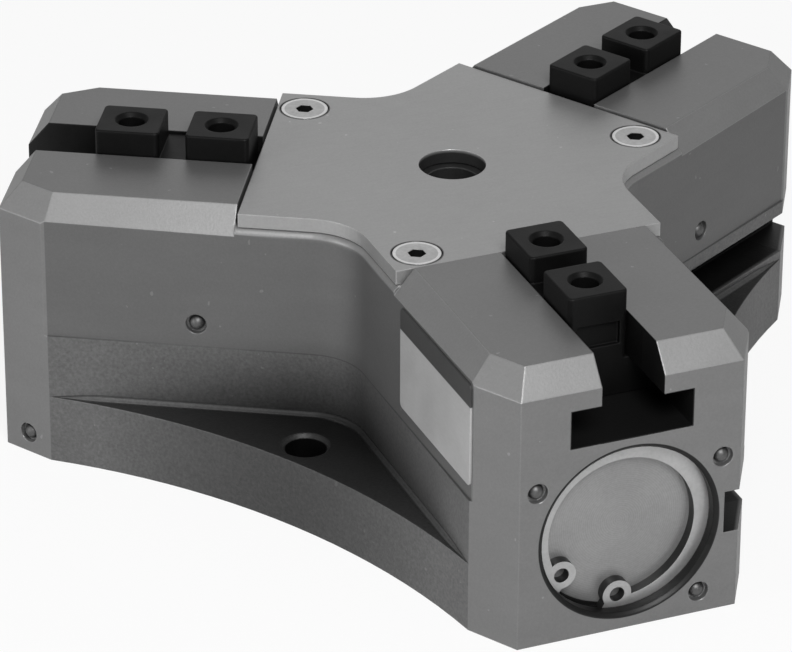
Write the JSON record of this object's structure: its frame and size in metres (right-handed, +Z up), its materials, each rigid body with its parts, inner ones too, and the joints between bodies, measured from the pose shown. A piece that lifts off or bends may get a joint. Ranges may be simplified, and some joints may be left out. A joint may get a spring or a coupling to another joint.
{
  "type": "three-jaw air chuck",
  "caption": "Three-armed pneumatic chuck with sliding T-slot jaws geared together under a screwed cover plate.",
  "frame": {"origin": "centre of the base face, on the centre line of the three mounting holes", "axes": "+Z up out of the cover plate; arm a points to -Y, arm b to the rear left, arm c to the rear right"},
  "size_m": [0.1374, 0.1191, 0.05],
  "materials": {
    "casting": "satin",
    "cover": "satin",
    "steel": "machined",
    "black_steel": "black oxide",
    "spring_steel": "phosphated",
    "bronze": "sintered",
    "rubber": "matt",
    "plastic": "matt",
    "magnet": "matt"
  },
  "bodies": {
    "body": {"body_casting": "casting", "cover_plate": "cover", "cover_screws": "steel", "ball_plugs": "steel", "lower_bush": "bronze", "upper_bush": "bronze", "end_cap_seals": "rubber", "end_cap_a": "cover", "retaining_ring_a": "spring_steel", "end_cap_b": "cover", "retaining_ring_b": "spring_steel", "end_cap_c": "cover", "retaining_ring_c": "spring_steel"},
    "jaw_a": {"jaw_a": "black_steel", "rack_a": "black_steel", "rack_screw_a": "black_steel", "drive_pin_a": "steel", "piston_a": "cover", "piston_seals_a": "rubber", "guide_band_a": "plastic", "magnet_ring_a": "magnet"},
    "jaw_b": {"jaw_b": "black_steel", "rack_b": "black_steel", "rack_screw_b": "black_steel", "drive_pin_b": "steel", "piston_b": "cover", "piston_seals_b": "rubber", "guide_band_b": "plastic", "magnet_ring_b": "magnet"},
    "jaw_c": {"jaw_c": "black_steel", "rack_c": "black_steel", "rack_screw_c": "black_steel", "drive_pin_c": "steel", "piston_c": "cover", "piston_seals_c": "rubber", "guide_band_c": "plastic", "magnet_ring_c": "magnet"},
    "pinion": {"pinion": "steel"}
  },
  "joints": [
    {"name": "jaw_a_slide", "type": "slide", "parent": "body", "child": "jaw_a", "axis": [0, -1, 0], "range_m": [0, 0.01]},
    {"name": "jaw_b_slide", "type": "slide", "parent": "body", "child": "jaw_b", "axis": [-0.866, 0.5, 0], "range_m": [0, 0.01]},
    {"name": "jaw_c_slide", "type": "slide", "parent": "body", "child": "jaw_c", "axis": [0.866, 0.5, 0], "range_m": [0, 0.01]},
    {"name": "pinion_spin", "type": "hinge", "parent": "body", "child": "pinion", "pos_m": [0, 0, 0.036], "axis": [0, 0, 1], "range_deg": [-63.7, 0]}
  ],
  "couplings": [
    {"joint": "jaw_b_slide", "follows": "jaw_a_slide", "ratio": 1},
    {"joint": "jaw_c_slide", "follows": "jaw_a_slide", "ratio": 1},
    {"joint": "pinion_spin", "follows": "jaw_a_slide", "rad_per_m": -111.11}
  ]
}
